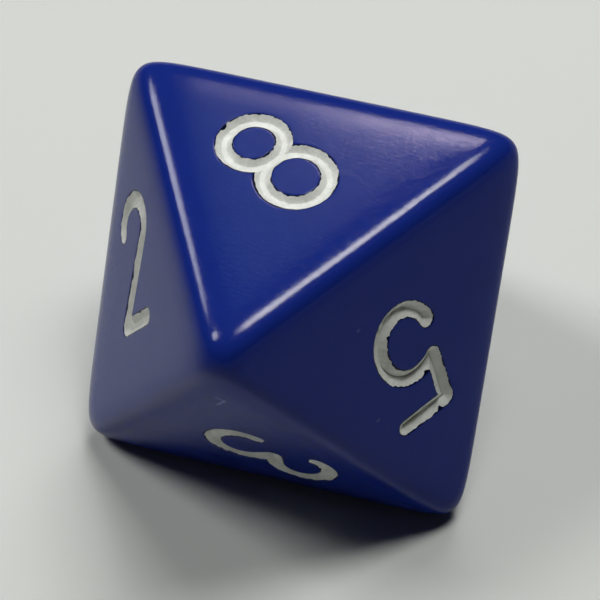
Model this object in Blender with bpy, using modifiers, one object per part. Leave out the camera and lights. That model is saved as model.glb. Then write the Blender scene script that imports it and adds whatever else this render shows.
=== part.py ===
"""Eight-sided die: a moulded octahedron with rolled edges and engraved, painted numerals.

The die lies on the face that carries the 1, with the 8 on top. The origin is the middle of the
bottom face, +Z is up and +Y points to the corner that the even numerals share. Opposite faces add
up to nine. Each numeral is a V groove along the middle line of its strokes, with a film of paint
lying on the groove's two walls.
"""

import math

import bmesh
import bpy
from mathutils import Matrix, Vector

# Driving dimensions, in metres
FACE_TO_FACE = 0.0150  # height of the die, from one face to the opposite one
EDGE_RADIUS = 0.00154  # rolled edges and corners

STROKE_WIDTH = 0.00082  # width of a groove at the face
GROOVE_DEPTH = 0.00036
PAINT_CLEARANCE = 0.00002  # between the groove's wall and the paint
PAINT_THICKNESS = 0.00008  # film of paint, square to the wall
PAINT_DROP = 0.00002  # the paint stops this far below the face

# Middle lines of the numerals, in metres: x to the right and y up, from the middle of the numeral
NUMERAL_RISE = 0.00100  # middle of a numeral, from the middle of its face towards the corner above
LINE_HEIGHT = 0.00538  # from the lowest to the highest middle line
STROKE_STEP = 0.00002  # a stroke that starts in another one's corner starts this far along

ONE_STEM = 0.00020
ONE_FLAG = (-0.00090, 0.00165)

TWO_REACH = 0.00139
TWO_ARCH = 0.00120
TWO_BASE = 0.00142

THREE_TIP = (-0.00010, 0.00010)
THREE_UPPER_REACH = 0.00147
THREE_UPPER_GAP = 0.00023  # from the tip up to the lowest point of the upper bowl's ellipse
THREE_LOWER_REACH = 0.00157
THREE_LOWER_GAP = 0.00019  # from the tip down to the highest point of the lower bowl's ellipse

FOUR_STEM = 0.00065
FOUR_BAR = -0.00130
FOUR_REACH = 0.00148

FIVE_STEM = 0.00109
FIVE_BAR = 0.00127
FIVE_FOOT = 0.00028  # lower end of the stem
FIVE_BOWL_TOP = 0.00062
FIVE_REACH = 0.00138

SIX_BOWL_TOP = 0.00022
SIX_REACH = 0.00142
SIX_TAIL_TOP = 0.00025

SEVEN_REACH = 0.00140
SEVEN_FOOT = -0.00035

EIGHT_WAIST = 0.00017
EIGHT_OVERLAP = 0.00004  # the two rings run into each other by this much at the waist
EIGHT_UPPER_REACH = 0.00131
EIGHT_LOWER_REACH = 0.00142
EIGHT_SHIFT = (0.00020, 0.00008)  # the 8 was engraved a little off the middle of its face

# Where the open arcs of the numerals start and stop, in degrees
TWO_HOOK = 183
THREE_UPPER_HOOK = 174
THREE_LOWER_HOOK = -183
FIVE_HOOK = -165
FIVE_SHOULDER = 150
SIX_HOOK = 58
SIX_TAIL_END = 172

# Facets
EDGE_FACETS = 6  # across a rolled edge
ARC_STEP = 15  # degrees between the points of an arc
ROUND_END_FACETS = 8  # half round the end of a stroke
WELD = 0.000001  # points of one piece that are closer than this are one point

# Which way each face looks along the die's three corner-to-corner axes
FACE_SIDES = {
    1: (-1, -1, -1),
    2: (1, 1, -1),
    3: (-1, 1, -1),
    4: (1, -1, -1),
    5: (-1, 1, 1),
    6: (1, -1, 1),
    7: (-1, -1, 1),
    8: (1, 1, 1),
}
AXIS_BEARINGS = (90, 210, 330)  # of the three corners of the top face, in degrees round +Z

BLUE = (0.007, 0.020, 0.183, 1.0)
BLUE_ROUGHNESS = 0.25
OFF_WHITE = (0.64, 0.65, 0.61, 1.0)
OFF_WHITE_ROUGHNESS = 0.55

# Worked out from the driving dimensions
LINE_TOP = LINE_HEIGHT / 2
LINE_BOTTOM = -LINE_HEIGHT / 2
HALF_STROKE = STROKE_WIDTH / 2
CORNER_RADIUS = FACE_TO_FACE / 2 * math.sqrt(3)  # centre to sharp corner
BEVEL_WIDTH = EDGE_RADIUS * math.tan(math.acos(1 / 3) / 2)  # sharp edge to tangent line, on a face
WALL_SLANT = math.hypot(HALF_STROKE, GROOVE_DEPTH) / HALF_STROKE  # rise that moves a wall by one
PAINT_UNDERSIDE = PAINT_CLEARANCE * WALL_SLANT  # rise of the groove's shape to the paint's underside
PAINT_TOPSIDE = PAINT_UNDERSIDE + PAINT_THICKNESS * WALL_SLANT
BAR_LIFT = GROOVE_DEPTH / 4  # a cutting bar is widest this far above the mouth of its groove
BAR_DEPTH = GROOVE_DEPTH + BAR_LIFT
BAR_HALF_WIDTH = HALF_STROKE * BAR_DEPTH / GROOVE_DEPTH


def clear_scene():
    for leftover in list(bpy.data.objects):
        bpy.data.objects.remove(leftover, do_unlink=True)


def new_collection(name):
    collection = bpy.data.collections.new(name)
    bpy.context.scene.collection.children.link(collection)
    return collection


def new_material(name, colour, roughness):
    material = bpy.data.materials.new(name)
    material.use_nodes = True
    shader = material.node_tree.nodes["Principled BSDF"]
    shader.inputs["Base Color"].default_value = colour
    shader.inputs["Roughness"].default_value = roughness
    shader.inputs["Metallic"].default_value = 0.0
    return material


def new_object(name, mesh, collection, place):
    made = bpy.data.objects.new(name, mesh)
    made.matrix_world = place
    collection.objects.link(made)
    return made


def as_cutter(made):
    made.hide_render = True
    made.display_type = "WIRE"
    return made


def evaluated_mesh(made):
    """The object's mesh with its modifiers or its curve bevel worked out."""
    bpy.context.view_layer.update()
    graph = bpy.context.evaluated_depsgraph_get()
    return bpy.data.meshes.new_from_object(made.evaluated_get(graph))


def add_boolean(made, cutter, operation, solver="EXACT"):
    cut = made.modifiers.new(f"{operation.lower()}_{cutter.name}", "BOOLEAN")
    cut.operation = operation
    cut.object = cutter
    cut.solver = solver


def add_weld(made):
    """Joins the doubled points that are left where strokes cross at one depth."""
    weld = made.modifiers.new("weld", "WELD")
    weld.merge_threshold = WELD


# The die's frame


def corner_axes():
    """The three axes from corner to opposite corner, at right angles, with the top face level."""
    lean = math.sqrt(2 / 3)
    rise = math.sqrt(1 / 3)
    bearings = [math.radians(bearing) for bearing in AXIS_BEARINGS]
    return [Vector((lean * math.cos(b), lean * math.sin(b), rise)) for b in bearings]


def die_centre():
    return Vector((0, 0, FACE_TO_FACE / 2))


def face_place(number):
    """Matrix of a numeral: x to its right, y up to its corner, z out of its face."""
    signed = [axis * side for axis, side in zip(corner_axes(), FACE_SIDES[number])]
    outward = (signed[0] + signed[1] + signed[2]).normalized()
    up = (signed[0] - outward * signed[0].dot(outward)).normalized()
    right = up.cross(outward)
    shift = EIGHT_SHIFT if number == 8 else (0, 0)
    middle = die_centre() + outward * FACE_TO_FACE / 2
    middle += right * shift[0] + up * (NUMERAL_RISE + shift[1])
    place = Matrix((right, up, outward)).transposed().to_4x4()
    place.translation = middle
    return place


# Strokes: a numeral is a list of middle lines, and each line is (points, closed)


def arc(centre, radii, start, stop):
    """Points along part of an ellipse, from one angle to another, in degrees."""
    steps = max(2, math.ceil(abs(stop - start) / ARC_STEP))
    angles = [math.radians(start + (stop - start) * i / steps) for i in range(steps + 1)]
    return [(centre[0] + radii[0] * math.cos(a), centre[1] + radii[1] * math.sin(a)) for a in angles]


def ring(centre, radii):
    return arc(centre, radii, 0, 360)[:-1], True


def tangent_angle(centre, radii, outside, turn):
    """Angle where a line from a point outside touches an ellipse, on its left (1) or right (-1)."""
    across = (outside[0] - centre[0]) / radii[0]
    along = (outside[1] - centre[1]) / radii[1]
    return math.degrees(math.atan2(along, across) + turn * math.acos(1 / math.hypot(across, along)))


def upright(reach, top, bottom):
    """Centre and radii of an ellipse that is 2 * reach wide and stands between two heights."""
    return (0, (top + bottom) / 2), (reach, (top - bottom) / 2)


def from_corner(corner, stop):
    """A straight stroke out of a corner where another stroke ends."""
    length = math.dist(corner, stop)
    start = [c + (s - c) * STROKE_STEP / length for c, s in zip(corner, stop)]
    return [start, stop], False


def one():
    top = (ONE_STEM, LINE_TOP)
    return [([top, (ONE_STEM, LINE_BOTTOM)], False), from_corner(top, ONE_FLAG)]


def two():
    arch = upright(TWO_REACH, LINE_TOP, LINE_TOP - 2 * TWO_ARCH)
    corner = (-TWO_BASE, LINE_BOTTOM)
    sweep = arc(*arch, TWO_HOOK, tangent_angle(*arch, corner, 1))
    return [(sweep + [corner], False), from_corner(corner, (TWO_BASE, LINE_BOTTOM))]


def three():
    upper = upright(THREE_UPPER_REACH, LINE_TOP, THREE_TIP[1] + THREE_UPPER_GAP)
    lower = upright(THREE_LOWER_REACH, THREE_TIP[1] - THREE_LOWER_GAP, LINE_BOTTOM)
    lower_tip = (THREE_TIP[0], THREE_TIP[1] - STROKE_STEP)
    upper_bowl = arc(*upper, THREE_UPPER_HOOK, tangent_angle(*upper, THREE_TIP, 1))
    lower_bowl = arc(*lower, tangent_angle(*lower, lower_tip, -1), THREE_LOWER_HOOK)
    return [(upper_bowl + [THREE_TIP], False), ([lower_tip] + lower_bowl, False)]


def four():
    top = (FOUR_STEM, LINE_TOP)
    left = (-FOUR_REACH, FOUR_BAR)
    stem = [top, (FOUR_STEM, LINE_BOTTOM)], False
    return [stem, from_corner(top, left), from_corner(left, (FOUR_REACH, FOUR_BAR))]


def five():
    corner = (-FIVE_STEM, LINE_TOP)
    foot = (-FIVE_STEM, FIVE_FOOT + STROKE_STEP)
    turn = math.radians(FIVE_SHOULDER)
    drop = (FIVE_BOWL_TOP - FIVE_FOOT) / (1 - math.sin(turn))
    shoulder = (0, FIVE_BOWL_TOP - drop), (-FIVE_STEM / math.cos(turn), drop)
    bowl = upright(FIVE_REACH, FIVE_BOWL_TOP, LINE_BOTTOM)
    belly = arc(*shoulder, FIVE_SHOULDER, 90) + arc(*bowl, 90, FIVE_HOOK)[1:]
    return [([corner, foot], False), from_corner(corner, (FIVE_BAR, LINE_TOP)), (belly, False)]


def six():
    bowl = upright(SIX_REACH, SIX_BOWL_TOP, LINE_BOTTOM)
    tail_centre = (SIX_TAIL_TOP, bowl[0][1])
    tail_radii = (SIX_TAIL_TOP + SIX_REACH, LINE_TOP - bowl[0][1])
    return [ring(*bowl), (arc(tail_centre, tail_radii, SIX_HOOK, SIX_TAIL_END), False)]


def seven():
    corner = (SEVEN_REACH, LINE_TOP)
    bar = [corner, (-SEVEN_REACH, LINE_TOP)], False
    return [bar, from_corner(corner, (SEVEN_FOOT, LINE_BOTTOM))]


def eight():
    upper = upright(EIGHT_UPPER_REACH, LINE_TOP, EIGHT_WAIST - EIGHT_OVERLAP / 2)
    lower = upright(EIGHT_LOWER_REACH, EIGHT_WAIST + EIGHT_OVERLAP / 2, LINE_BOTTOM)
    return [ring(*upper), ring(*lower)]


NUMERALS = {1: one, 2: two, 3: three, 4: four, 5: five, 6: six, 7: seven, 8: eight}


# Cutting bars: four-sided bars along the strokes, whose lowest edge is the bottom of the groove


def stroke_bar(name, points, closed, cutters):
    """A stroke as a bar of diamond section: a bevelled curve, squashed to the groove's depth."""
    curve = bpy.data.curves.new(name, "CURVE")
    curve.dimensions = "3D"
    curve.twist_mode = "Z_UP"
    curve.bevel_depth = BAR_HALF_WIDTH
    curve.bevel_resolution = 0
    spline = curve.splines.new("POLY")
    spline.points.add(len(points) - 1)
    for point, (x, y) in zip(spline.points, points):
        point.co = (x, y, 0, 1)
    spline.use_cyclic_u = closed
    drawn = new_object(f"{name}_line", curve, cutters, Matrix())
    mesh = evaluated_mesh(drawn)
    bpy.data.objects.remove(drawn, do_unlink=True)
    work = bmesh.new()
    work.from_mesh(mesh)
    if not closed:
        round_end(work, points[0], points[1])
        round_end(work, points[-1], points[-2])
    bmesh.ops.remove_doubles(work, verts=work.verts, dist=WELD)
    bmesh.ops.recalc_face_normals(work, faces=work.faces)
    bmesh.ops.scale(work, verts=work.verts, vec=(1, 1, BAR_DEPTH / BAR_HALF_WIDTH))
    work.to_mesh(mesh)
    work.free()
    return as_cutter(new_object(name, mesh, cutters, Matrix()))


def round_end(work, point, neighbour):
    """Closes an end of a bar by turning one side of its section half round the end's upright."""
    end = Vector((*point, 0))
    inward = Vector((*neighbour, 0)) - end
    side = Vector((-inward.y, inward.x, 0))
    half = []
    for edge in work.edges:
        middle = (edge.verts[0].co + edge.verts[1].co) / 2 - end
        if edge.is_boundary and middle.length < BAR_HALF_WIDTH and middle.dot(side) > 0:
            half.append(edge)
    corners = list({vertex for edge in half for vertex in edge.verts})
    bmesh.ops.spin(
        work, geom=half + corners, cent=end, axis=(0, 0, 1), angle=math.pi, steps=ROUND_END_FACETS
    )


def numeral_bar(number, cutters):
    """One closed mesh for a whole numeral: the union of its strokes."""
    bars = []
    for index, (points, closed) in enumerate(NUMERALS[number]()):
        bars.append(stroke_bar(f"numeral_{number}_stroke_{index}", points, closed, cutters))
    for bar in bars[1:]:
        add_boolean(bars[0], bar, "UNION", "MANIFOLD")
    mesh = evaluated_mesh(bars[0])
    for bar in bars:
        bpy.data.objects.remove(bar, do_unlink=True)
    work = bmesh.new()
    work.from_mesh(mesh)
    bmesh.ops.dissolve_degenerate(work, edges=work.edges, dist=WELD)
    work.to_mesh(mesh)
    work.free()
    return mesh


def raised(place, height):
    return place @ Matrix.Translation((0, 0, height))


def level_block(name, place, cutters):
    """A block that removes everything above the level where the paint stops."""
    side = 2 * LINE_HEIGHT
    mesh = bpy.data.meshes.new(name)
    work = bmesh.new()
    bmesh.ops.create_cube(work, size=side)
    work.to_mesh(mesh)
    work.free()
    return as_cutter(new_object(name, mesh, cutters, raised(place, side / 2 - PAINT_DROP)))


# The pieces


def die_body(parts, material):
    """The octahedron with its edges rolled, set down on one face."""
    mesh = bpy.data.meshes.new("die_body")
    work = bmesh.new()
    bmesh.ops.create_uvsphere(work, u_segments=4, v_segments=2, radius=CORNER_RADIUS)
    work.to_mesh(mesh)
    work.free()
    mesh.materials.append(material)
    mesh.shade_smooth()
    place = Matrix(corner_axes()).transposed().to_4x4()
    place.translation = die_centre()
    body = new_object("die_body", mesh, parts, place)
    rolled = body.modifiers.new("rolled_edges", "BEVEL")
    rolled.offset_type = "OFFSET"
    rolled.width = BEVEL_WIDTH
    rolled.segments = EDGE_FACETS
    rolled.use_clamp_overlap = False
    return body


def numeral_paint(number, bar_mesh, place, parts, cutters, material):
    """A film on the walls of a groove: the groove's bar, raised, cut level on top and hollowed."""
    name = f"numeral_{number}_paint"
    mesh = bar_mesh.copy()
    mesh.materials.clear()
    mesh.materials.append(material)
    paint = new_object(name, mesh, parts, raised(place, BAR_LIFT + PAINT_UNDERSIDE))
    add_boolean(paint, level_block(f"{name}_level", place, cutters), "DIFFERENCE")
    hollow = new_object(f"{name}_hollow", bar_mesh, cutters, raised(place, BAR_LIFT + PAINT_TOPSIDE))
    add_boolean(paint, as_cutter(hollow), "DIFFERENCE")
    add_weld(paint)


def main():
    clear_scene()
    parts = new_collection("eight_sided_die")
    cutters = new_collection("cutters")
    plastic = new_material("blue_moulded_plastic", BLUE, BLUE_ROUGHNESS)
    enamel = new_material("off_white_paint", OFF_WHITE, OFF_WHITE_ROUGHNESS)
    body = die_body(parts, plastic)
    for number in NUMERALS:
        place = face_place(number)
        bar_mesh = numeral_bar(number, cutters)
        groove = new_object(f"numeral_{number}_groove", bar_mesh, cutters, raised(place, BAR_LIFT))
        add_boolean(body, as_cutter(groove), "DIFFERENCE")
        numeral_paint(number, bar_mesh, place, parts, cutters, enamel)
    add_weld(body)
    body.modifiers.new("level_faces", "WEIGHTED_NORMAL")


main()
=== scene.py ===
"""Looks of an eight-sided die: blue moulded plastic with rolled edges and painted, engraved numerals.

Shapes are worked out in millimetres from the middle of the die and go into the meshes in metres.
A face has its own flat coordinates: x to the right of its numeral, y up to the numeral's corner.
"""

import math

import bmesh
import bpy
import numpy as np
from mathutils import Matrix, Quaternion, Vector
from mathutils.geometry import delaunay_2d_cdt


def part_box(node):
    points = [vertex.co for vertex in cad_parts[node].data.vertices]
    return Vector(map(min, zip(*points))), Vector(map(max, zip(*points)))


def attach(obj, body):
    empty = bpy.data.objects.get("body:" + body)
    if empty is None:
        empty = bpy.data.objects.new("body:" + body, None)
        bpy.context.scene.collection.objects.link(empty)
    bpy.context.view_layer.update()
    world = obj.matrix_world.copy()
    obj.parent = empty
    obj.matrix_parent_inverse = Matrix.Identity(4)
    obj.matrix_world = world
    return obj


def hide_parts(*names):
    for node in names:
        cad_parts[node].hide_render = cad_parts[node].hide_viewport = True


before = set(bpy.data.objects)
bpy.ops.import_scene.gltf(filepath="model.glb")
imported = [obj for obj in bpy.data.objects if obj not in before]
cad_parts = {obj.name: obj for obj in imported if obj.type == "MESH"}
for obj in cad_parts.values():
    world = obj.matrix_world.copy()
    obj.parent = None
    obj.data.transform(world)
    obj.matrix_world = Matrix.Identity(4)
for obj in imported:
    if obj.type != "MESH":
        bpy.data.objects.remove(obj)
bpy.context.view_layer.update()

MM = 0.001

# The body, in millimetres
HEIGHT = (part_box("die_body")[1].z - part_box("die_body")[0].z) / MM
SOFTNESSES = ((0.24, 0.6), (0.56, 0.4))  # the edges' tight roll and long run-out, each with its share
CORNER_CUTS = (0.55, 0.85, 0.55, 0.55, 0.55, 0.55)  # how far the corners are worn down, the near one most

# The grooves and the paint in them, in millimetres
STROKE_WIDTH = 0.82
GROOVE_DEPTH = 0.36
RIM_SOFTNESS = 0.013  # rounding of the groove's rim
FILM_LIFT = 0.004  # air between the plastic and the paint's underside
FILM_ON_WALL = 0.024  # thickness of the paint, straight up from the wall
POOL_DEPTH = 0.235  # the paint has pooled along the middle line up to this depth
THIN_POOL_DEPTH = 0.30  # the same where little paint was left
THINLY_PAINTED = (1, 5, 7)
POOL_SOFTNESS = 0.008
FILM_LEAST = 0.006
LUMP_HEIGHT = 0.009
LUMP_SIZE = 0.09
RIM_MARGIN = 0.050  # bare wall between the paint and the rim, on average
RIM_MARGIN_LEAST = 0.006
USUAL_RAGGEDNESS = 0.014  # spread of the bare wall's width
RAGGEDNESS = {2: 0.006, 3: 0.008}  # the same on the numerals that differ
FINE_NICK = 0.05  # sizes of the nicks in the paint's edge
COARSE_NICK = 0.20
COARSE_NICK_SHARE = 0.8  # spread of the coarse nicks, where that of the fine ones is 1
FILM_BELOW_FACE = 0.004  # the paint was wiped off the faces, so it never stands proud
GROOVE_SHADE_DEPTHS = (0.002, 0.018)  # painted shade on the bare walls: none down to the first depth, full from the second
VALLEY_DARKENING = 0.06  # thin paint is darker this far either side of its middle line
DARKENING_PATCH = 0.5  # it is patchy: the size of its patches, their usual strength and its spread
DARKENING_SHARE = 0.3
DARKENING_SPREAD = 0.5

# Seeds of the random blobs, to which the number of the face is added
FINE_NICK_SEED = 0
COARSE_NICK_SEED = 10
LUMP_SEED = 20
DARKENING_SEED = 30

# Middle lines of the numerals, in millimetres from the middle of the numeral
NUMERAL_RISE = 1.00
LINE_TOP = 2.69
LINE_BOTTOM = -2.69
ONE_STEM = 0.20
ONE_FLAG = (-0.90, 1.65)
TWO_REACH = 1.39
TWO_ARCH = 1.20
TWO_BASE = 1.42
THREE_TIP = (-0.10, 0.10)
THREE_UPPER_REACH = 1.47
THREE_UPPER_GAP = 0.23
THREE_LOWER_REACH = 1.57
THREE_LOWER_GAP = 0.19
FOUR_STEM = 0.65
FOUR_BAR = -1.30
FOUR_REACH = 1.48
FIVE_STEM = 1.09
FIVE_BAR = 1.27
FIVE_FOOT = 0.28
FIVE_BOWL_TOP = 0.62
FIVE_REACH = 1.38
SIX_BOWL_TOP = 0.22
SIX_REACH = 1.42
SIX_TAIL_TOP = 0.25
SEVEN_REACH = 1.40
SEVEN_FOOT = -0.35
EIGHT_WAIST = 0.17
EIGHT_OVERLAP = 0.04
EIGHT_UPPER_REACH = 1.31
EIGHT_LOWER_REACH = 1.42
EIGHT_SHIFT = (0.20, 0.08)

# Where the numerals' open arcs start or end, in degrees
TWO_HOOK = 183
THREE_UPPER_HOOK = 174
THREE_LOWER_HOOK = -183
FIVE_HOOK = -165
FIVE_SHOULDER = 150
SIX_HOOK = 58
SIX_TAIL_END = 172

# Where the paint has come off the wall: x, y, size and extra bare width, by numeral
CHIPS = {
    1: ((-0.05, 2.6, 0.15, 0.10), (0.60, -1.1, 0.30, 0.05)),
    2: ((-0.35, 0.20, 0.50, 0.03), (0.50, -1.30, 0.15, 0.03)),
    3: ((1.30, -0.30, 0.50, 0.03), (-0.60, -2.00, 0.20, 0.04), (0.40, 1.40, 0.15, 0.04)),
    4: ((0.25, 1.60, 0.20, 0.08), (-1.20, 0.10, 0.30, 0.06)),
    5: ((-0.65, 3.95, 0.12, 0.12), (-0.45, 1.80, 0.15, 0.10), (1.00, 0.90, 0.30, 0.05)),
    6: ((-1.60, 0.40, 0.40, 0.06), (0.30, 3.95, 0.15, 0.10)),
    7: ((0.90, 3.95, 0.15, 0.10), (0.60, 1.40, 0.30, 0.06)),
    8: (
        (-0.15, 4.10, 0.14, 0.14),
        (-1.50, 2.30, 0.12, 0.10),
        (-1.10, 1.20, 0.30, 0.08),
        (-1.65, 0.20, 0.45, 0.07),
        (-1.55, -0.70, 0.35, 0.06),
        (1.05, 2.30, 0.30, 0.06),
        (1.18, -0.10, 0.30, 0.06),
    ),
}

# Pale scratches in the plastic: their ends from the middle of the die, half their width and strength
SCRATCHES = (
    ((-8.24, -4.26, 3.73), (-7.98, -4.52, 3.45), 0.10, 0.45),
    ((-7.98, -4.52, 3.45), (-7.98, -4.04, 2.77), 0.10, 0.45),
    ((-2.06, -6.33, 4.59), (-1.98, -6.33, 4.59), 0.09, 0.2),
    ((-2.51, -7.87, 0.23), (-2.43, -7.87, 0.23), 0.09, 0.2),
)

# Which way each face looks along the three corner-to-corner axes
FACE_SIDES = {
    1: (-1, -1, -1),
    2: (1, 1, -1),
    3: (-1, 1, -1),
    4: (1, -1, -1),
    5: (-1, 1, 1),
    6: (1, -1, 1),
    7: (-1, -1, 1),
    8: (1, 1, 1),
}
AXIS_BEARINGS = (90, 210, 330)
FACE_CORNER_BEARINGS = (90, 210, 330)  # corners of a face in its own flat coordinates

# Fineness of the meshes, in millimetres and degrees
ARC_STEP = 4
GRID_STEP = 0.04
GRID_REACH = (2.4, 3.5)  # half the width and height of the field round a numeral
SLOPE_STEP = 0.010
POINT_MERGE = 0.002  # points of a triangulation that are closer than this become one
WELD = POINT_MERGE / 4  # the same in a finished mesh
LAST_CELL = 1.001  # keeps a reading inside the last cell of a grid
NEWTON_STEPS = 9
RING_INSETS = (0, 0.1, 0.2, 0.32, 0.46, 0.62, 0.8, 1.0, 1.25, 1.55, 1.95, 2.5, 3.2)
RING_SIDE = 72  # points along one side of a ring
RING_CROWDING = 0.6  # how much closer the points stand at the corners
GROOVE_LEVELS = (0.58, 0.50, 0.46, 0.435, 0.41, 0.385, 0.35, 0.26, 0.13)  # distances from the middle line
FILM_LEVELS = (0.35, 0.28, 0.20, 0.13, 0.09, 0.06)

# Fine scratches from tumbling run one way on each face: degrees from one face's to the next one's,
# and millimetres between the places in one pattern that two such faces show
STREAK_TURN = 37
STREAK_APART = 40

# Camera, as the photograph was taken: degrees and millimetres
CAMERA_AZIMUTH = -38.90
CAMERA_ELEVATION = 51.13
CAMERA_ROLL = -4.10
CAMERA_DISTANCE = 144.6
CAMERA_AIM = (0.10, -0.49)  # right and up from the middle of the die
CAMERA_LENS = 197.5
CAMERA_SENSOR = 36.0
CAMERA_CLIP = (0.01, 10)  # metres

# Lamps: name, bearing from +X, elevation, roll, width and height in degrees, level and colour
LAMP_DISTANCE = 0.4  # metres
SOFT_BOXES = (
    ("box_left", 120, 52, 0, 16, 16, 0.32, "#FFFFFF"),
    ("box_behind", 30, 44, 0, 16, 16, 0.21, "#FFFFFF"),
    ("box_overhead", 0, 76, 0, 16, 16, 0.33, "#FFFFFF"),
    ("box_right", 345, 68, 0, 16, 16, 0.16, "#FFFFFF"),
)
# The soft boxes leave no mirror image in the plastic; these strips and the pane do, and light nothing
GLOSS_STRIPS = (
    ("strip_far_left", 84, 44.2, 0, 12, 9, 0.19, "#FFFFFF"),
    ("strip_left", 107.6, 62.1, -38, 13, 7, 0.33, "#FFFFFF"),
    ("strip_right", 26, 65.2, -37, 8.5, 14, 0.54, "#FFFFFF"),
    ("strip_behind", 40.5, 45.0, -13, 11, 2, 0.13, "#FFF0FF"),
    ("strip_far_behind", 50.8, 42.2, -13, 3, 2, 0.009, "#FFF0FF"),
    ("pane_behind", 52.6, 49.8, 27, 4, 7, 0.007, "#B4DFFF"),
)
# The room gives almost no light, and looks pale below and a little above its horizon
SKY_LEVEL = 0.01
HORIZON_LEVEL = 0.60
HORIZON_FADE = (0.10, 0.20)  # sines of the elevations between which the pale band fades out

# The floor
FLOOR_SIZE = 4  # metres
FLOOR_DROP = 0.02  # millimetres below the die
FLOOR_COLOUR = "#D3D5D0"
FLOOR_ROUGHNESS = 0.9

# The plastic's finish: sRGB colours, and sizes of its patterns in millimetres
PLASTIC_BLUES = ("#112472", "#17297B")
# Colour of the painted shade on the bare walls of the grooves
GROOVE_SHADE_BLUE = "#080C24"
SCRATCH_COLOUR = "#8C93B8"
PLASTIC_IOR = 1.49
PLASTIC_GLOSS = 0.12  # specular level: the worn skin mirrors less than new acrylic
POLISH = (0.07, 0.16)  # roughness of the clearest and of the dullest streaks
CLOUD_SIZE = 1.2
STREAK_SIZE = 0.11  # real ones are too fine to show in the render, so these are drawn coarser
STREAK_STRETCH = 4
STREAK_DEPTH = 0.0042

# The paint's finish, in the same way
PAINT_WHITES = ("#C7C9C2", "#DADCD6")
# Colour towards which the paint is darker along the middle line where it is thin
PAINT_DARKER = "#4C4B42"
PAINT_IOR = 1.48
PAINT_ROUGHNESS = 0.55
STAIN_SIZE = 0.5
GRAIN_SIZE = 0.15  # real pigment is too fine to show, so this is drawn coarser too
GRAIN_DEPTH = 0.03
NOISE_MIDDLE = (0.35, 0.65)  # most values of a noise lie between these

HALF_STROKE = STROKE_WIDTH / 2
INRADIUS = HEIGHT / 2
CORNER_REACH = INRADIUS * math.sqrt(3)
FACE_INRADIUS = CORNER_REACH / math.sqrt(6)  # middle of a face to its sharp edges


# The die's frame


def corner_axes():
    """The three axes through opposite corners, one a row, which lean out so that a face lies level."""
    bearing = np.radians(AXIS_BEARINGS)
    lean = math.sqrt(2 / 3)
    rise = np.full(3, math.sqrt(1 / 3))
    return np.column_stack([lean * np.cos(bearing), lean * np.sin(bearing), rise])


def face_axes(number):
    """Right, up and outward of a face, one a row: outward is midway between its three corners' axes,
    and up is the part of the first of them that lies in the face."""
    signed = corner_axes() * np.array(FACE_SIDES[number])[:, None]
    outward = signed.sum(axis=0) / math.sqrt(3)
    up = signed[0] - outward * (signed[0] @ outward)
    up /= np.linalg.norm(up)
    return np.array([np.cross(up, outward), up, outward])


FACE_NORMALS = np.array([face_axes(number)[2] for number in FACE_SIDES])
SKIN_PLANES = np.concatenate([FACE_NORMALS, corner_axes(), -corner_axes()])
FACE_REACHES = np.full(len(FACE_NORMALS), INRADIUS)
SKIN_REACHES = np.concatenate([FACE_REACHES, CORNER_REACH - np.array(CORNER_CUTS)])


def skin_height(points):
    """Height over the tumbled skin and its slope: the soft maximum of the heights over the face
    planes and over a plane across each corner, which melts neighbouring planes into each other,
    blended from a tight and a long melt."""
    heights = points @ SKIN_PLANES.T - SKIN_REACHES
    highest = heights.max(axis=1, keepdims=True)
    height = highest[:, 0].copy()
    slope = np.zeros_like(points)
    for softness, share in SOFTNESSES:
        parts = np.exp((heights - highest) / softness)
        total = parts.sum(axis=1, keepdims=True)
        height += share * softness * np.log(total[:, 0])
        slope += share * (parts / total) @ SKIN_PLANES
    return height, slope


def onto_skin(points):
    """Draws points in towards the middle of the die until they lie on the skin, by Newton's method."""
    scale = np.ones(len(points))
    for _ in range(NEWTON_STEPS):
        height, slope = skin_height(points * scale[:, None])
        scale -= height / np.einsum("ij,ij->i", slope, points)
    return points * scale[:, None]


def unit(vectors):
    """Vectors divided by their lengths."""
    return vectors / np.linalg.norm(vectors, axis=1, keepdims=True)


# Strokes of the numerals: lists of middle lines, each an array of points


def arc(centre, radii, start, stop):
    """Points along an ellipse from one angle to another, in degrees."""
    steps = max(2, math.ceil(abs(stop - start) / ARC_STEP))
    turn = np.radians(np.linspace(start, stop, steps + 1))
    return np.column_stack([centre[0] + radii[0] * np.cos(turn), centre[1] + radii[1] * np.sin(turn)])


def upright(reach, top, bottom):
    """Centre and radii of an ellipse 2 * reach wide that stands between two heights."""
    return (0, (top + bottom) / 2), (reach, (top - bottom) / 2)


def tangent_angle(centre, radii, outside, turn):
    """Angle where a line from a point outside touches an ellipse, on its left (1) or right (-1)."""
    across = (outside[0] - centre[0]) / radii[0]
    along = (outside[1] - centre[1]) / radii[1]
    return math.degrees(math.atan2(along, across) + turn * math.acos(1 / math.hypot(across, along)))


def line(*points):
    """Straight pieces from point to point."""
    return np.array(points, float)


def one():
    """The flag up to the top of the stem, and the stem down."""
    top = (ONE_STEM, LINE_TOP)
    return [line(ONE_FLAG, top, (ONE_STEM, LINE_BOTTOM))]


def two():
    """An arch from its hook to where the slant touches it, the slant down to a corner, and the base."""
    arch = upright(TWO_REACH, LINE_TOP, LINE_TOP - 2 * TWO_ARCH)
    corner = (-TWO_BASE, LINE_BOTTOM)
    sweep = arc(*arch, TWO_HOOK, tangent_angle(*arch, corner, 1))
    return [np.concatenate([sweep, line(corner, (TWO_BASE, LINE_BOTTOM))])]


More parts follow.
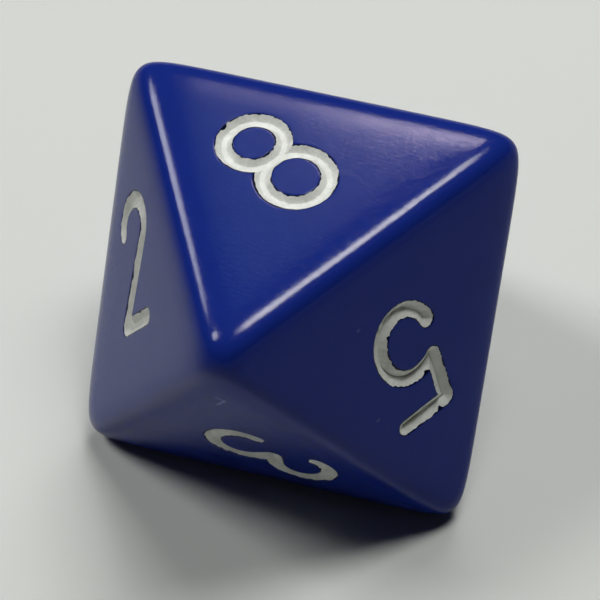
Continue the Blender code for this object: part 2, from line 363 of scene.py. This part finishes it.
def three():
    """Two bowls from hook to tip, each joined to the tip by a line that touches it."""
    upper = upright(THREE_UPPER_REACH, LINE_TOP, THREE_TIP[1] + THREE_UPPER_GAP)
    lower = upright(THREE_LOWER_REACH, THREE_TIP[1] - THREE_LOWER_GAP, LINE_BOTTOM)
    upper_bowl = arc(*upper, THREE_UPPER_HOOK, tangent_angle(*upper, THREE_TIP, 1))
    lower_bowl = arc(*lower, tangent_angle(*lower, THREE_TIP, -1), THREE_LOWER_HOOK)
    return [np.concatenate([upper_bowl, line(THREE_TIP), lower_bowl])]


def four():
    """The bar from right to left, the slant up and the stem down."""
    left = (-FOUR_REACH, FOUR_BAR)
    top = (FOUR_STEM, LINE_TOP)
    return [line((FOUR_REACH, FOUR_BAR), left, top, (FOUR_STEM, LINE_BOTTOM))]


def five():
    """The bar, the stem down to its foot, a shoulder's arc up to the top of the bowl, and the bowl
    round to its hook."""
    corner = (-FIVE_STEM, LINE_TOP)
    turn = math.radians(FIVE_SHOULDER)
    drop = (FIVE_BOWL_TOP - FIVE_FOOT) / (1 - math.sin(turn))
    shoulder = (0, FIVE_BOWL_TOP - drop), (-FIVE_STEM / math.cos(turn), drop)
    bowl = upright(FIVE_REACH, FIVE_BOWL_TOP, LINE_BOTTOM)
    belly = np.concatenate([arc(*shoulder, FIVE_SHOULDER, 90), arc(*bowl, 90, FIVE_HOOK)[1:]])
    return [np.concatenate([line((FIVE_BAR, LINE_TOP), corner), belly])]


def six():
    """A closed bowl, and a tail along a larger ellipse with the same left side."""
    bowl = upright(SIX_REACH, SIX_BOWL_TOP, LINE_BOTTOM)
    tail_centre = (SIX_TAIL_TOP, bowl[0][1])
    tail_radii = (SIX_TAIL_TOP + SIX_REACH, LINE_TOP - bowl[0][1])
    return [arc(*bowl, 0, 360), arc(tail_centre, tail_radii, SIX_HOOK, SIX_TAIL_END)]


def seven():
    """The bar, and the slant down to its foot."""
    return [line((-SEVEN_REACH, LINE_TOP), (SEVEN_REACH, LINE_TOP), (SEVEN_FOOT, LINE_BOTTOM))]


def eight():
    """Two closed loops that overlap a little at the waist."""
    upper = upright(EIGHT_UPPER_REACH, LINE_TOP, EIGHT_WAIST - EIGHT_OVERLAP / 2)
    lower = upright(EIGHT_LOWER_REACH, EIGHT_WAIST + EIGHT_OVERLAP / 2, LINE_BOTTOM)
    return [arc(*upper, 0, 360), arc(*lower, 0, 360)]


NUMERALS = {1: one, 2: two, 3: three, 4: four, 5: five, 6: six, 7: seven, 8: eight}


def numeral_middle(number):
    """Middle of a numeral in its face's coordinates."""
    shift = EIGHT_SHIFT if number == 8 else (0, 0)
    return np.array([shift[0], NUMERAL_RISE + shift[1]])


def strokes(number):
    """Middle lines of a numeral in its face's coordinates."""
    return [points + numeral_middle(number) for points in NUMERALS[number]()]


def valleys(middle_lines):
    """Middle lines as (points, pairs) sets for the triangulation."""
    order = [np.arange(len(points)) for points in middle_lines]
    return [(points, np.column_stack([o[:-1], o[1:]])) for points, o in zip(middle_lines, order)]


# Grooves


def stroke_distance(points, middle_lines):
    """Distance to the nearest middle line: for each straight piece, the foot of the perpendicular
    is held between the piece's ends."""
    nearest = np.full(len(points), np.inf)
    for middle_line in middle_lines:
        for start, stop in zip(middle_line[:-1], middle_line[1:]):
            along = stop - start
            foot = np.clip((points - start) @ along / (along @ along), 0, 1)
            away = points - start - foot[:, None] * along
            nearest = np.minimum(nearest, np.hypot(away[:, 0], away[:, 1]))
    return nearest


def groove_depth(distance):
    """A straight wall from the rim down to the middle line, softened where it meets the face."""
    wall = GROOVE_DEPTH * (1 - distance / HALF_STROKE)
    return RIM_SOFTNESS * np.logaddexp(0, wall / RIM_SOFTNESS)


def film_depth(distance, pool_depth):
    """Depth of the paint's upper side: a thin film on the wall, softly cut off by the pool's level."""
    wall = groove_depth(distance) - FILM_ON_WALL
    return -POOL_SOFTNESS * np.logaddexp(-wall / POOL_SOFTNESS, -pool_depth / POOL_SOFTNESS)


def slopes(depth, points, middle_lines, *details):
    """Slope of a depth to the right and up, from its change over a short step each way."""
    steps = np.array([[SLOPE_STEP, 0], [0, SLOPE_STEP]])
    change = [
        depth(stroke_distance(points + step, middle_lines), *details)
        - depth(stroke_distance(points - step, middle_lines), *details)
        for step in steps
    ]
    return np.column_stack(change) / (2 * SLOPE_STEP)


# Fields on a flat grid round a numeral


def numeral_grid(number):
    """The grid's x values, its y values, and all its points row by row."""
    middle = numeral_middle(number)
    x = middle[0] + np.arange(-GRID_REACH[0], GRID_REACH[0], GRID_STEP)
    y = middle[1] + np.arange(-GRID_REACH[1], GRID_REACH[1], GRID_STEP)
    return x, y, np.stack(np.meshgrid(x, y), axis=-1).reshape(-1, 2)


def level_line(values, x, y):
    """Where a field on a grid passes zero: the points on the grid's edges, found by proportion, and
    the pairs of points that a straight piece joins across each cell."""
    inside = values < 0
    level_cut = inside[:, :-1] != inside[:, 1:]
    upright_cut = inside[:-1] != inside[1:]
    row, column = np.nonzero(level_cut)
    share = values[row, column] / (values[row, column] - values[row, column + 1])
    level_points = np.column_stack([x[column] + share * GRID_STEP, y[row]])
    row, column = np.nonzero(upright_cut)
    share = values[row, column] / (values[row, column] - values[row + 1, column])
    upright_points = np.column_stack([x[column], y[row] + share * GRID_STEP])
    level_index = np.full(level_cut.shape, -1)
    level_index[level_cut] = np.arange(len(level_points))
    upright_index = np.full(upright_cut.shape, -1)
    upright_index[upright_cut] = len(level_points) + np.arange(len(upright_points))
    sides = [level_index[:-1], upright_index[:, 1:], level_index[1:], upright_index[:, :-1]]
    cells = np.stack(sides, axis=-1)
    cells = cells[(cells >= 0).any(axis=-1)]
    pairs = cells[cells >= 0].reshape(-1, 2)
    return np.concatenate([level_points, upright_points]), pairs


def mottle(shape, grain, seed):
    """Random blobs of one grain size with spread 1: white noise, smoothed by a Gaussian."""
    white = np.random.default_rng(seed).standard_normal(shape)
    rows = np.fft.fftfreq(shape[0], GRID_STEP)[:, None]
    columns = np.fft.rfftfreq(shape[1], GRID_STEP)
    smooth = np.exp(-2 * (math.pi * grain) ** 2 * (rows**2 + columns**2))
    blobs = np.fft.irfft2(np.fft.rfft2(white) * smooth, shape)
    return blobs / blobs.std()


def read_grid(values, x, y, points):
    """Values of a grid at any points, blended from the four nearest grid points."""
    across = np.clip((points[:, 0] - x[0]) / GRID_STEP, 0, len(x) - LAST_CELL)
    along = np.clip((points[:, 1] - y[0]) / GRID_STEP, 0, len(y) - LAST_CELL)
    column = across.astype(int)
    row = along.astype(int)
    right = across - column
    up = along - row
    lower = values[row, column] * (1 - right) + values[row, column + 1] * right
    upper = values[row + 1, column] * (1 - right) + values[row + 1, column + 1] * right
    return lower * (1 - up) + upper * up


def gather(*parts):
    """Joins (points, pairs) sets into one, counting the points on."""
    points = np.concatenate([part[0] for part in parts])
    starts = np.cumsum([0] + [len(part[0]) for part in parts[:-1]])
    pairs = np.concatenate([part[1] + start for part, start in zip(parts, starts)])
    return points, pairs


def triangles_between(points, pairs):
    """Delaunay triangles that keep the given lines, inside the outermost ones."""
    made = delaunay_2d_cdt(points.tolist(), pairs.tolist(), [], 1, POINT_MERGE)
    return np.array(made[0], float), np.array(made[2], int)


# The body


def face_rings():
    """Triangles nested in a face's sharp outline, close together along the rolled edges, with
    points that crowd towards the corners; the outline itself is the only one kept as a line."""
    spread = np.linspace(0, 1, RING_SIDE + 1)[:-1]
    spread = spread - RING_CROWDING * np.sin(2 * math.pi * spread) / (2 * math.pi)
    bearing = np.radians(FACE_CORNER_BEARINGS)
    corners = 2 * FACE_INRADIUS * np.column_stack([np.cos(bearing), np.sin(bearing)])
    ahead = np.roll(corners, -1, axis=0)
    outline = corners[:, None] + spread[None, :, None] * (ahead - corners)[:, None]
    outline = outline.reshape(-1, 2)
    scales = 1 - np.array(RING_INSETS) / FACE_INRADIUS
    order = np.arange(len(outline))
    return (scales[:, None, None] * outline).reshape(-1, 2), np.column_stack([order, np.roll(order, -1)])


def body_face(number):
    """One face out to its sharp edges: the skin, sunk by the depth of the groove."""
    middle_lines = strokes(number)
    x, y, grid = numeral_grid(number)
    field = stroke_distance(grid, middle_lines).reshape(len(y), len(x))
    rims = [level_line(field - level, x, y) for level in GROOVE_LEVELS]
    flat, triangles = triangles_between(*gather(face_rings(), *rims, *valleys(middle_lines)))
    axes = face_axes(number)
    skin = onto_skin(np.column_stack([flat, np.full(len(flat), INRADIUS)]) @ axes)
    depth = groove_depth(stroke_distance(flat, middle_lines))
    tilt = slopes(groove_depth, flat, middle_lines)
    normals = unit(unit(skin_height(skin)[1]) + tilt @ axes[:2])
    turn = math.radians(STREAK_TURN * number)
    streaks = flat @ np.array([[math.cos(turn), -math.sin(turn)], [math.sin(turn), math.cos(turn)]])
    plane = (streaks + STREAK_APART * number) * MM
    # Painted shade: the bare walls of the groove are darkened by their depth
    darkening = np.interp(depth, GROOVE_SHADE_DEPTHS, (0, 1))
    return skin - depth[:, None] * axes[2], normals, triangles, darkening, plane[triangles].reshape(-1, 2)


def die_body():
    """All eight faces, joined along their edges and corners."""
    faces = [body_face(number) for number in FACE_SIDES]
    starts = np.cumsum([0] + [len(face[0]) for face in faces[:-1]])
    triangles = np.concatenate([face[2] + start for face, start in zip(faces, starts)])
    points, normals, _, darkening, plane = (np.concatenate(part) for part in zip(*faces))
    return new_piece("moulded_body", points, normals, triangles, darkening, plane)


# The paint


def bare_margin(number, grid, shape):
    """Width of the bare wall below the rim: an average, fine and coarse nicks, and a round bite for
    each chip, which falls off as a Gaussian."""
    fine = mottle(shape, FINE_NICK, FINE_NICK_SEED + number)
    coarse = mottle(shape, COARSE_NICK, COARSE_NICK_SEED + number)
    ragged = RAGGEDNESS.get(number, USUAL_RAGGEDNESS)
    margin = RIM_MARGIN + ragged * (fine + COARSE_NICK_SHARE * coarse)
    for chip_x, chip_y, size, bite in CHIPS[number]:
        away = np.hypot(grid[:, 0] - chip_x, grid[:, 1] - chip_y).reshape(shape)
        margin += bite * np.exp(-((away / size) ** 2))
    return np.maximum(margin, RIM_MARGIN_LEAST)


def closed_film(triangles, below):
    """Triangles of the upper side, the same turned over for the underside, whose points are counted
    on from the upper ones, and a wall between them along the edges that only one triangle has."""
    edges = np.concatenate([triangles[:, [0, 1]], triangles[:, [1, 2]], triangles[:, [2, 0]]])
    _, first, count = np.unique(np.sort(edges, axis=1), axis=0, return_index=True, return_counts=True)
    start, stop = edges[first[count == 1]].T
    wall = np.column_stack([stop, start, start + below])
    wall_too = np.column_stack([stop, start + below, stop + below])
    return np.concatenate([triangles, triangles[:, ::-1] + below, wall, wall_too])


def numeral_paint(number):
    """A film on the walls of one groove, with a ragged edge a little below the rim: its underside
    follows the groove, and its upper side is the film's depth, less random lumps, held between the
    face and the underside."""
    middle_lines = strokes(number)
    x, y, grid = numeral_grid(number)
    shape = (len(y), len(x))
    field = stroke_distance(grid, middle_lines).reshape(shape)
    outside = field - HALF_STROKE + bare_margin(number, grid, shape)
    levels = [level_line(field - level, x, y) for level in FILM_LEVELS]
    rim = level_line(outside, x, y)
    flat, triangles = triangles_between(*gather(rim, *levels, *valleys(middle_lines)))
    centres = flat[triangles].mean(axis=1)
    triangles = triangles[read_grid(outside, x, y, centres) < 0]
    used, triangles = np.unique(triangles, return_inverse=True)
    flat = flat[used]
    triangles = triangles.reshape(-1, 3)
    distance = stroke_distance(flat, middle_lines)
    lumps = LUMP_HEIGHT * mottle(shape, LUMP_SIZE, LUMP_SEED + number)
    under = groove_depth(distance) - FILM_LIFT
    thin = number in THINLY_PAINTED
    pool_depth = THIN_POOL_DEPTH if thin else POOL_DEPTH
    over = film_depth(distance, pool_depth) - read_grid(lumps, x, y, flat)
    over = np.minimum(np.maximum(over, FILM_BELOW_FACE), under - FILM_LEAST)
    axes = face_axes(number)
    plane = np.column_stack([flat, np.full(len(flat), INRADIUS)]) @ axes
    points = np.concatenate([plane - over[:, None] * axes[2], plane - under[:, None] * axes[2]])
    rise_up, rise_right = np.gradient(lumps, GRID_STEP)
    lump_tilt = [read_grid(rise, x, y, flat) for rise in (rise_right, rise_up)]
    tilt = slopes(film_depth, flat, middle_lines, pool_depth) - np.column_stack(lump_tilt)
    upper = unit(axes[2] + tilt @ axes[:2])
    normals = np.concatenate([upper, -upper])
    # The paint is darker along the middle line where it is thin, in patches
    patches = read_grid(mottle(shape, DARKENING_PATCH, DARKENING_SEED + number), x, y, flat)
    darkening = thin * np.interp(distance, (0, VALLEY_DARKENING), (1, 0))
    darkening *= np.clip(DARKENING_SHARE + DARKENING_SPREAD * patches, 0, 1)
    shell = closed_film(triangles, len(flat))
    return new_piece(f"paint_of_{number}", points, normals, shell, np.tile(darkening, 2))


# Meshes and materials


def new_piece(name, points, normals, triangles, darkening, plane=None):
    """A closed mesh of triangles that is shaded with its own worked-out normals; the darkening share is
    kept for the shader, which on the body is painted shade in the grooves, and plane holds the UV
    coordinates of the triangles' corners."""
    mesh = bpy.data.meshes.new(name)
    mesh.from_pydata((points * MM + [0, 0, INRADIUS * MM]).tolist(), [], triangles.tolist())
    facing = mesh.attributes.new("facing", "FLOAT_VECTOR", "POINT")
    facing.data.foreach_set("vector", normals.astype(np.float32).ravel())
    mesh.attributes.new("darkening", "FLOAT", "POINT").data.foreach_set("value", darkening.astype(np.float32))
    if plane is not None:
        mesh.uv_layers.new(name="face_plane").data.foreach_set("uv", plane.astype(np.float32).ravel())
    work = bmesh.new()
    work.from_mesh(mesh)
    bmesh.ops.remove_doubles(work, verts=work.verts, dist=WELD * MM)
    work.to_mesh(mesh)
    work.free()
    kept = np.zeros(len(mesh.vertices) * 3, np.float32)
    mesh.attributes["facing"].data.foreach_get("vector", kept)
    mesh.attributes.remove(mesh.attributes["facing"])
    mesh.shade_smooth()
    mesh.normals_split_custom_set_from_vertices(kept.reshape(-1, 3).tolist())
    piece = bpy.data.objects.new(name, mesh)
    bpy.context.scene.collection.objects.link(piece)
    return piece


def linear(hex_colour):
    """An sRGB hex colour as the linear values that shaders take, by the standard curve, and opaque."""
    coded = np.array([int(hex_colour[i:i + 2], 16) for i in (1, 3, 5)]) / 255
    plain = np.where(coded <= 0.04045, coded / 12.92, ((coded + 0.055) / 1.055) ** 2.4)
    return (*plain.tolist(), 1.0)


def new_material(name):
    """A material with no nodes yet."""
    material = bpy.data.materials.new(name)
    material.use_nodes = True
    material.node_tree.nodes.clear()
    return material


def add_node(owner, kind, links=None, values=None, **settings):
    """Adds a node to a material or world with its settings, fixed inputs and links from outputs."""
    node = owner.node_tree.nodes.new(kind)
    for key, value in settings.items():
        setattr(node, key, value)
    for socket, value in (values or {}).items():
        node.inputs[socket].default_value = value
    for socket, source in (links or {}).items():
        owner.node_tree.links.new(source, node.inputs[socket])
    return node


def scratch_mark(material, place, start, stop, half_width, strength):
    """Share of a scratch's colour: its strength on the line between its ends, and none from half
    its width away; the nearest place on the line is held between the ends."""
    along = (np.array(stop) - start) * MM
    start = (np.array(start) + [0, 0, INRADIUS]) * MM
    away = add_node(material, "ShaderNodeVectorMath", {0: place}, {1: start}, operation="SUBTRACT")
    away = away.outputs["Vector"]
    share = add_node(
        material, "ShaderNodeVectorMath", {0: away}, {1: along / (along @ along)}, operation="DOT_PRODUCT"
    )
    share = add_node(material, "ShaderNodeClamp", {"Value": share.outputs["Value"]}).outputs["Result"]
    foot = add_node(material, "ShaderNodeVectorMath", {"Scale": share}, {0: along}, operation="SCALE")
    gap = add_node(
        material, "ShaderNodeVectorMath", {0: away, 1: foot.outputs["Vector"]}, operation="DISTANCE"
    )
    mark = add_node(
        material,
        "ShaderNodeMapRange",
        {"Value": gap.outputs["Value"]},
        {"From Min": 0, "From Max": half_width * MM, "To Min": strength, "To Max": 0},
    )
    return mark.outputs["Result"]


def tumbled_plastic():
    """Acrylic, moulded and tumble polished: a deep even blue under a satin gloss, which fine scratches
    break into streaks, with faint cloudiness, a few pale scratches, and painted shade on the bare
    walls of the grooves."""
    material = new_material("tumbled_blue_acrylic")
    place = add_node(material, "ShaderNodeTexCoord").outputs["Object"]
    plane = add_node(material, "ShaderNodeUVMap", uv_map="face_plane").outputs["UV"]
    cloud = add_node(
        material,
        "ShaderNodeTexNoise",
        {"Vector": place},
        {"Scale": 1 / (CLOUD_SIZE * MM), "Detail": 4, "Roughness": 0.65},
    )
    colour = add_node(
        material,
        "ShaderNodeMix",
        {"Factor": cloud.outputs["Fac"]},
        {"A": linear(PLASTIC_BLUES[0]), "B": linear(PLASTIC_BLUES[1])},
        data_type="RGBA",
    )
    for scratch in SCRATCHES:
        colour = add_node(
            material,
            "ShaderNodeMix",
            {"Factor": scratch_mark(material, place, *scratch), "A": colour.outputs["Result"]},
            {"B": linear(SCRATCH_COLOUR)},
            data_type="RGBA",
        )
    # Painted shade on the bare walls of the grooves, darker with depth
    darkening = add_node(material, "ShaderNodeAttribute", attribute_name="darkening")
    colour = add_node(
        material,
        "ShaderNodeMix",
        {"Factor": darkening.outputs["Fac"], "A": colour.outputs["Result"]},
        {"B": linear(GROOVE_SHADE_BLUE)},
        data_type="RGBA",
    )
    along = add_node(
        material, "ShaderNodeMapping", {"Vector": plane}, {"Scale": (1 / STREAK_STRETCH, 1, 1)}
    )
    streak = add_node(
        material,
        "ShaderNodeTexNoise",
        {"Vector": along.outputs["Vector"]},
        {"Scale": 1 / (STREAK_SIZE * MM), "Detail": 3, "Roughness": 0.65},
        noise_dimensions="2D",
    )
    polish = add_node(
        material,
        "ShaderNodeMapRange",
        {"Value": streak.outputs["Fac"]},
        {
            "From Min": NOISE_MIDDLE[0],
            "From Max": NOISE_MIDDLE[1],
            "To Min": POLISH[0],
            "To Max": POLISH[1],
        },
    )
    bump = add_node(
        material,
        "ShaderNodeBump",
        {"Height": streak.outputs["Fac"]},
        {"Strength": 1.0, "Distance": STREAK_DEPTH * MM},
    )
    shader = add_node(
        material,
        "ShaderNodeBsdfPrincipled",
        {
            "Base Color": colour.outputs["Result"],
            "Roughness": polish.outputs["Result"],
            "Normal": bump.outputs["Normal"],
        },
        {"IOR": PLASTIC_IOR, "Specular IOR Level": PLASTIC_GLOSS},
    )
    add_node(material, "ShaderNodeOutputMaterial", {"Surface": shader.outputs["BSDF"]})
    return material


def wiped_paint():
    """Acrylic hobby paint, wiped into the grooves: off-white and matt, with grey stains, a grainy skin,
    and a darker colour along the middle lines where it is thin."""
    material = new_material("off_white_acrylic_paint")
    place = add_node(material, "ShaderNodeTexCoord").outputs["Object"]
    stain = add_node(
        material,
        "ShaderNodeTexNoise",
        {"Vector": place},
        {"Scale": 1 / (STAIN_SIZE * MM), "Detail": 4, "Roughness": 0.7},
    )
    shade = add_node(
        material,
        "ShaderNodeMapRange",
        {"Value": stain.outputs["Fac"]},
        {"From Min": NOISE_MIDDLE[0], "From Max": NOISE_MIDDLE[1], "To Min": 0, "To Max": 1},
    )
    colour = add_node(
        material,
        "ShaderNodeMix",
        {"Factor": shade.outputs["Result"]},
        {"A": linear(PAINT_WHITES[0]), "B": linear(PAINT_WHITES[1])},
        data_type="RGBA",
    )
    # Darker along the middle line where the paint is thin
    darkening = add_node(material, "ShaderNodeAttribute", attribute_name="darkening")
    colour = add_node(
        material,
        "ShaderNodeMix",
        {"Factor": darkening.outputs["Fac"], "A": colour.outputs["Result"]},
        {"B": linear(PAINT_DARKER)},
        data_type="RGBA",
    )
    grain = add_node(
        material,
        "ShaderNodeTexNoise",
        {"Vector": place},
        {"Scale": 1 / (GRAIN_SIZE * MM), "Detail": 3, "Roughness": 0.6},
    )
    bump = add_node(
        material,
        "ShaderNodeBump",
        {"Height": grain.outputs["Fac"]},
        {"Strength": 1.0, "Distance": GRAIN_DEPTH * MM},
    )
    shader = add_node(
        material,
        "ShaderNodeBsdfPrincipled",
        {"Base Color": colour.outputs["Result"], "Normal": bump.outputs["Normal"]},
        {"Roughness": PAINT_ROUGHNESS, "IOR": PAINT_IOR},
    )
    add_node(material, "ShaderNodeOutputMaterial", {"Surface": shader.outputs["BSDF"]})
    return material


# Stage


def add_camera():
    """The photograph's camera: it looks from an azimuth, counted from -Y towards +X, and an elevation,
    is rolled about its line of sight, and aims a little beside the middle of the die."""
    azimuth = math.radians(CAMERA_AZIMUTH)
    elevation = math.radians(CAMERA_ELEVATION)
    back = Vector(
        (
            math.sin(azimuth) * math.cos(elevation),
            -math.cos(azimuth) * math.cos(elevation),
            math.sin(elevation),
        )
    )
    right = Vector((0, 0, 1)).cross(back).normalized()
    right = Matrix.Rotation(math.radians(CAMERA_ROLL), 3, back) @ right
    up = back.cross(right)
    aim = Vector((0, 0, INRADIUS)) + right * CAMERA_AIM[0] + up * CAMERA_AIM[1]
    data = bpy.data.cameras.new("camera")
    data.lens = CAMERA_LENS
    data.sensor_width = CAMERA_SENSOR
    data.clip_start, data.clip_end = CAMERA_CLIP
    camera = bpy.data.objects.new("camera", data)
    camera.matrix_world = Matrix((right, up, back)).transposed().to_4x4()
    camera.location = (aim + back * CAMERA_DISTANCE) * MM
    bpy.context.scene.collection.objects.link(camera)
    bpy.context.scene.camera = camera


def add_lamp(name, bearing, elevation, roll, width, height, level, colour):
    """A lamp that faces the die from a direction in degrees, rolled about that direction, and as wide
    and high in degrees as it looks from the die; its level is the share of a colour that it alone
    would give to a level white card."""
    data = bpy.data.lights.new(name, "AREA")
    data.shape = "RECTANGLE"
    data.color = linear(colour)[:3]
    data.size = 2 * LAMP_DISTANCE * math.tan(math.radians(width) / 2)
    data.size_y = 2 * LAMP_DISTANCE * math.tan(math.radians(height) / 2)
    data.energy = level * (math.pi * LAMP_DISTANCE) ** 2 / math.sin(math.radians(elevation))
    lamp = bpy.data.objects.new(name, data)
    lift = Matrix.Rotation(-math.radians(elevation), 3, "Y")
    turn = Matrix.Rotation(math.radians(bearing), 3, "Z") @ lift
    towards = turn @ Vector((1, 0, 0))
    facing = towards.to_track_quat("Z", "Y") @ Quaternion((0, 0, 1), math.radians(roll))
    lamp.rotation_euler = facing.to_euler()
    lamp.location = towards * LAMP_DISTANCE + Vector((0, 0, INRADIUS * MM))
    bpy.context.scene.collection.objects.link(lamp)
    return lamp


def add_floor():
    """A wide matt board, pale all over: it takes the die's soft shadow and shows no gloss."""
    bpy.ops.mesh.primitive_plane_add(size=FLOOR_SIZE)
    floor = bpy.context.object
    floor.name = "floor"
    floor.location.z = -FLOOR_DROP * MM
    material = new_material("pale_matt_board")
    shader = add_node(
        material,
        "ShaderNodeBsdfPrincipled",
        values={
            "Base Color": linear(FLOOR_COLOUR),
            "Roughness": FLOOR_ROUGHNESS,
            "Specular IOR Level": 0,
        },
    )
    add_node(material, "ShaderNodeOutputMaterial", {"Surface": shader.outputs["BSDF"]})
    floor.data.materials.append(material)


def add_world():
    """An almost dark room, pale below and a little above its horizon, where the camera and gloss see
    it, though that lights nothing."""
    world = bpy.data.worlds.new("studio")
    world.use_nodes = True
    world.node_tree.nodes.clear()
    way = add_node(world, "ShaderNodeTexCoord").outputs["Generated"]
    height = add_node(world, "ShaderNodeSeparateXYZ", {"Vector": way}).outputs["Z"]
    band = add_node(
        world,
        "ShaderNodeMapRange",
        {"Value": height},
        {"From Min": HORIZON_FADE[0], "From Max": HORIZON_FADE[1], "To Min": HORIZON_LEVEL, "To Max": 0},
    )
    rays = add_node(world, "ShaderNodeLightPath").outputs
    seen = rays["Is Camera Ray"]
    for kind in ("Is Glossy Ray", "Is Transmission Ray"):
        seen = add_node(world, "ShaderNodeMath", {0: seen, 1: rays[kind]}, operation="MAXIMUM").outputs[0]
    strength = add_node(
        world,
        "ShaderNodeMath",
        {0: band.outputs["Result"], 1: seen},
        {2: SKY_LEVEL},
        operation="MULTIPLY_ADD",
    )
    light = add_node(
        world, "ShaderNodeBackground", {"Strength": strength.outputs[0]}, {"Color": (1, 1, 1, 1)}
    )
    add_node(world, "ShaderNodeOutputWorld", {"Surface": light.outputs["Background"]})
    bpy.context.scene.world = world


def dress(piece, node, material):
    """Gives a piece its finish, and has it stand for a CAD node."""
    piece.data.materials.append(material)
    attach(piece, "root")
    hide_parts(node)


def main():
    """Makes the stage and the nine pieces."""
    bpy.context.scene.view_settings.view_transform = "Standard"
    add_camera()
    add_world()
    add_floor()
    for lamp in SOFT_BOXES:
        add_lamp(*lamp).visible_glossy = False
    for lamp in GLOSS_STRIPS:
        add_lamp(*lamp).visible_diffuse = False
    plastic = tumbled_plastic()
    paint = wiped_paint()
    dress(die_body(), "die_body", plastic)
    for number in NUMERALS:
        dress(numeral_paint(number), f"numeral_{number}_paint", paint)


main()
